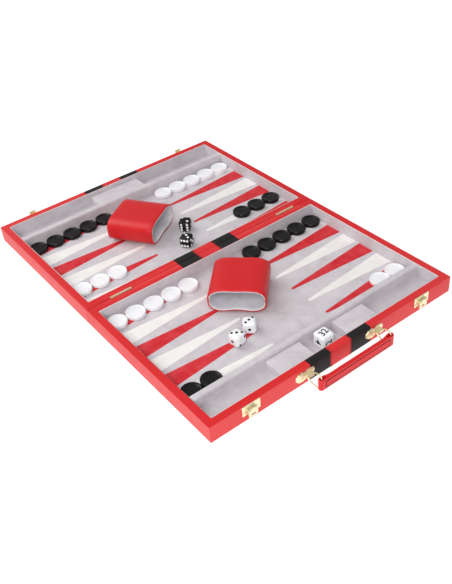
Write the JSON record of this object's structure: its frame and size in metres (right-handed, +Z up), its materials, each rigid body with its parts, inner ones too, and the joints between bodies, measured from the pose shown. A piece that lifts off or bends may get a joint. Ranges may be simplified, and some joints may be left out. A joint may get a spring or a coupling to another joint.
{
  "type": "backgammon case",
  "caption": "Folding backgammon case, opened flat as a board: felt trays with points, checkers, dice cups, dice, doubling cube, latches and handle.",
  "frame": {"origin": "middle of the underside of the opened case, handle and catches included", "axes": "+X along the hinge line, +Y from the handle side to the far half, +Z up from the table"},
  "size_m": [0.38, 0.5548, 0.0415],
  "materials": {
    "red_leatherette": "satin grained leatherette",
    "grey_felt": "short felt",
    "white_plastic": "polished white",
    "black_plastic": "polished black",
    "brass": "bright plated"
  },
  "bodies": {
    "front_tray": {"tray_front_frame": "red_leatherette", "tray_front_base": "grey_felt", "front_divider": "grey_felt", "hinge_leaf_front_left": "brass", "hinge_leaf_front_right": "brass", "latch_plate_left": "brass", "latch_plate_right": "brass", "handle_bracket_left": "brass", "handle_bracket_right": "brass"},
    "rear_tray": {"tray_rear_frame": "red_leatherette", "tray_rear_base": "grey_felt", "rear_divider": "grey_felt", "hinge_leaf_rear_left": "brass", "hinge_leaf_rear_right": "brass", "catch_left": "brass", "catch_right": "brass"},
    "handle": {"handle_grip": "red_leatherette", "handle_ring_left": "brass", "handle_ring_right": "brass"},
    "latch_left": {"latch_tongue_left": "brass"},
    "latch_right": {"latch_tongue_right": "brass"},
    "checker_white_01_body": {"checker_white_01": "white_plastic"},
    "checker_white_02_body": {"checker_white_02": "white_plastic"},
    "checker_white_03_body": {"checker_white_03": "white_plastic"},
    "checker_white_04_body": {"checker_white_04": "white_plastic"},
    "checker_white_05_body": {"checker_white_05": "white_plastic"},
    "checker_white_06_body": {"checker_white_06": "white_plastic"},
    "checker_white_07_body": {"checker_white_07": "white_plastic"},
    "checker_white_08_body": {"checker_white_08": "white_plastic"},
    "checker_white_09_body": {"checker_white_09": "white_plastic"},
    "checker_white_10_body": {"checker_white_10": "white_plastic"},
    "checker_white_11_body": {"checker_white_11": "white_plastic"},
    "checker_white_12_body": {"checker_white_12": "white_plastic"},
    "checker_white_13_body": {"checker_white_13": "white_plastic"},
    "checker_white_14_body": {"checker_white_14": "white_plastic"},
    "checker_white_15_body": {"checker_white_15": "white_plastic"},
    "checker_black_01_body": {"checker_black_01": "black_plastic"},
    "checker_black_02_body": {"checker_black_02": "black_plastic"},
    "checker_black_03_body": {"checker_black_03": "black_plastic"},
    "checker_black_04_body": {"checker_black_04": "black_plastic"},
    "checker_black_05_body": {"checker_black_05": "black_plastic"},
    "checker_black_06_body": {"checker_black_06": "black_plastic"},
    "checker_black_07_body": {"checker_black_07": "black_plastic"},
    "checker_black_08_body": {"checker_black_08": "black_plastic"},
    "checker_black_09_body": {"checker_black_09": "black_plastic"},
    "checker_black_10_body": {"checker_black_10": "black_plastic"},
    "checker_black_11_body": {"checker_black_11": "black_plastic"},
    "checker_black_12_body": {"checker_black_12": "black_plastic"},
    "checker_black_13_body": {"checker_black_13": "black_plastic"},
    "checker_black_14_body": {"checker_black_14": "black_plastic"},
    "checker_black_15_body": {"checker_black_15": "black_plastic"},
    "die_white_1_body": {"die_white_1": "white_plastic"},
    "die_white_2_body": {"die_white_2": "white_plastic"},
    "doubling_cube_body": {"doubling_cube": "white_plastic"},
    "cup_front_body": {"cup_front": "red_leatherette"},
    "die_black_1_body": {"die_black_1": "black_plastic"},
    "die_black_2_body": {"die_black_2": "black_plastic"},
    "cup_rear_body": {"cup_rear": "red_leatherette"}
  },
  "joints": [
    {"name": "case_fold", "type": "hinge", "parent": "front_tray", "child": "rear_tray", "pos_m": [0, 0.009, 0.0236], "axis": [-1, 0, 0], "range_deg": [-150, 0]},
    {"name": "handle_swing", "type": "hinge", "parent": "front_tray", "child": "handle", "pos_m": [0, -0.2578, 0.0134], "axis": [-1, 0, 0], "range_deg": [-50, 85]},
    {"name": "latch_left_swing", "type": "hinge", "parent": "front_tray", "child": "latch_left", "pos_m": [-0.1345, -0.2562, 0.017], "axis": [-1, 0, 0], "range_deg": [0, 165]},
    {"name": "latch_right_swing", "type": "hinge", "parent": "front_tray", "child": "latch_right", "pos_m": [0.1355, -0.2562, 0.017], "axis": [-1, 0, 0], "range_deg": [0, 165]},
    {"name": "lift_checker_white_01", "type": "slide", "parent": "front_tray", "child": "checker_white_01_body", "axis": [0, 0, 1], "range_m": [0, 0.08]},
    {"name": "lift_checker_white_02", "type": "slide", "parent": "front_tray", "child": "checker_white_02_body", "axis": [0, 0, 1], "range_m": [0, 0.08]},
    {"name": "lift_checker_white_03", "type": "slide", "parent": "front_tray", "child": "checker_white_03_body", "axis": [0, 0, 1], "range_m": [0, 0.08]},
    {"name": "lift_checker_white_04", "type": "slide", "parent": "front_tray", "child": "checker_white_04_body", "axis": [0, 0, 1], "range_m": [0, 0.08]},
    {"name": "lift_checker_white_05", "type": "slide", "parent": "front_tray", "child": "checker_white_05_body", "axis": [0, 0, 1], "range_m": [0, 0.08]},
    {"name": "lift_checker_white_06", "type": "slide", "parent": "front_tray", "child": "checker_white_06_body", "axis": [0, 0, 1], "range_m": [0, 0.08]},
    {"name": "lift_checker_white_07", "type": "slide", "parent": "front_tray", "child": "checker_white_07_body", "axis": [0, 0, 1], "range_m": [0, 0.08]},
    {"name": "lift_checker_white_08", "type": "slide", "parent": "rear_tray", "child": "checker_white_08_body", "axis": [0, 0, 1], "range_m": [0, 0.08]},
    {"name": "lift_checker_white_09", "type": "slide", "parent": "rear_tray", "child": "checker_white_09_body", "axis": [0, 0, 1], "range_m": [0, 0.08]},
    {"name": "lift_checker_white_10", "type": "slide", "parent": "rear_tray", "child": "checker_white_10_body", "axis": [0, 0, 1], "range_m": [0, 0.08]},
    {"name": "lift_checker_white_11", "type": "slide", "parent": "rear_tray", "child": "checker_white_11_body", "axis": [0, 0, 1], "range_m": [0, 0.08]},
    {"name": "lift_checker_white_12", "type": "slide", "parent": "rear_tray", "child": "checker_white_12_body", "axis": [0, 0, 1], "range_m": [0, 0.08]},
    {"name": "lift_checker_white_13", "type": "slide", "parent": "rear_tray", "child": "checker_white_13_body", "axis": [0, 0, 1], "range_m": [0, 0.08]},
    {"name": "lift_checker_white_14", "type": "slide", "parent": "rear_tray", "child": "checker_white_14_body", "axis": [0, 0, 1], "range_m": [0, 0.08]},
    {"name": "lift_checker_white_15", "type": "slide", "parent": "rear_tray", "child": "checker_white_15_body", "axis": [0, 0, 1], "range_m": [0, 0.08]},
    {"name": "lift_checker_black_01", "type": "slide", "parent": "front_tray", "child": "checker_black_01_body", "axis": [0, 0, 1], "range_m": [0, 0.08]},
    {"name": "lift_checker_black_02", "type": "slide", "parent": "front_tray", "child": "checker_black_02_body", "axis": [0, 0, 1], "range_m": [0, 0.08]},
    {"name": "lift_checker_black_03", "type": "slide", "parent": "front_tray", "child": "checker_black_03_body", "axis": [0, 0, 1], "range_m": [0, 0.08]},
    {"name": "lift_checker_black_04", "type": "slide", "parent": "front_tray", "child": "checker_black_04_body", "axis": [0, 0, 1], "range_m": [0, 0.08]},
    {"name": "lift_checker_black_05", "type": "slide", "parent": "front_tray", "child": "checker_black_05_body", "axis": [0, 0, 1], "range_m": [0, 0.08]},
    {"name": "lift_checker_black_06", "type": "slide", "parent": "front_tray", "child": "checker_black_06_body", "axis": [0, 0, 1], "range_m": [0, 0.08]},
    {"name": "lift_checker_black_07", "type": "slide", "parent": "front_tray", "child": "checker_black_07_body", "axis": [0, 0, 1], "range_m": [0, 0.08]},
    {"name": "lift_checker_black_08", "type": "slide", "parent": "rear_tray", "child": "checker_black_08_body", "axis": [0, 0, 1], "range_m": [0, 0.08]},
    {"name": "lift_checker_black_09", "type": "slide", "parent": "rear_tray", "child": "checker_black_09_body", "axis": [0, 0, 1], "range_m": [0, 0.08]},
    {"name": "lift_checker_black_10", "type": "slide", "parent": "rear_tray", "child": "checker_black_10_body", "axis": [0, 0, 1], "range_m": [0, 0.08]},
    {"name": "lift_checker_black_11", "type": "slide", "parent": "rear_tray", "child": "checker_black_11_body", "axis": [0, 0, 1], "range_m": [0, 0.08]},
    {"name": "lift_checker_black_12", "type": "slide", "parent": "rear_tray", "child": "checker_black_12_body", "axis": [0, 0, 1], "range_m": [0, 0.08]},
    {"name": "lift_checker_black_13", "type": "slide", "parent": "rear_tray", "child": "checker_black_13_body", "axis": [0, 0, 1], "range_m": [0, 0.08]},
    {"name": "lift_checker_black_14", "type": "slide", "parent": "rear_tray", "child": "checker_black_14_body", "axis": [0, 0, 1], "range_m": [0, 0.08]},
    {"name": "lift_checker_black_15", "type": "slide", "parent": "rear_tray", "child": "checker_black_15_body", "axis": [0, 0, 1], "range_m": [0, 0.08]},
    {"name": "lift_die_white_1", "type": "slide", "parent": "front_tray", "child": "die_white_1_body", "axis": [0, 0, 1], "range_m": [0, 0.08]},
    {"name": "lift_die_white_2", "type": "slide", "parent": "front_tray", "child": "die_white_2_body", "axis": [0, 0, 1], "range_m": [0, 0.08]},
    {"name": "lift_doubling_cube", "type": "slide", "parent": "front_tray", "child": "doubling_cube_body", "axis": [0, 0, 1], "range_m": [0, 0.08]},
    {"name": "lift_cup_front", "type": "slide", "parent": "front_tray", "child": "cup_front_body", "axis": [0, 0, 1], "range_m": [0, 0.08]},
    {"name": "lift_die_black_1", "type": "slide", "parent": "rear_tray", "child": "die_black_1_body", "axis": [0, 0, 1], "range_m": [0, 0.08]},
    {"name": "lift_die_black_2", "type": "slide", "parent": "rear_tray", "child": "die_black_2_body", "axis": [0, 0, 1], "range_m": [0, 0.08]},
    {"name": "lift_cup_rear", "type": "slide", "parent": "rear_tray", "child": "cup_rear_body", "axis": [0, 0, 1], "range_m": [0, 0.08]}
  ]
}
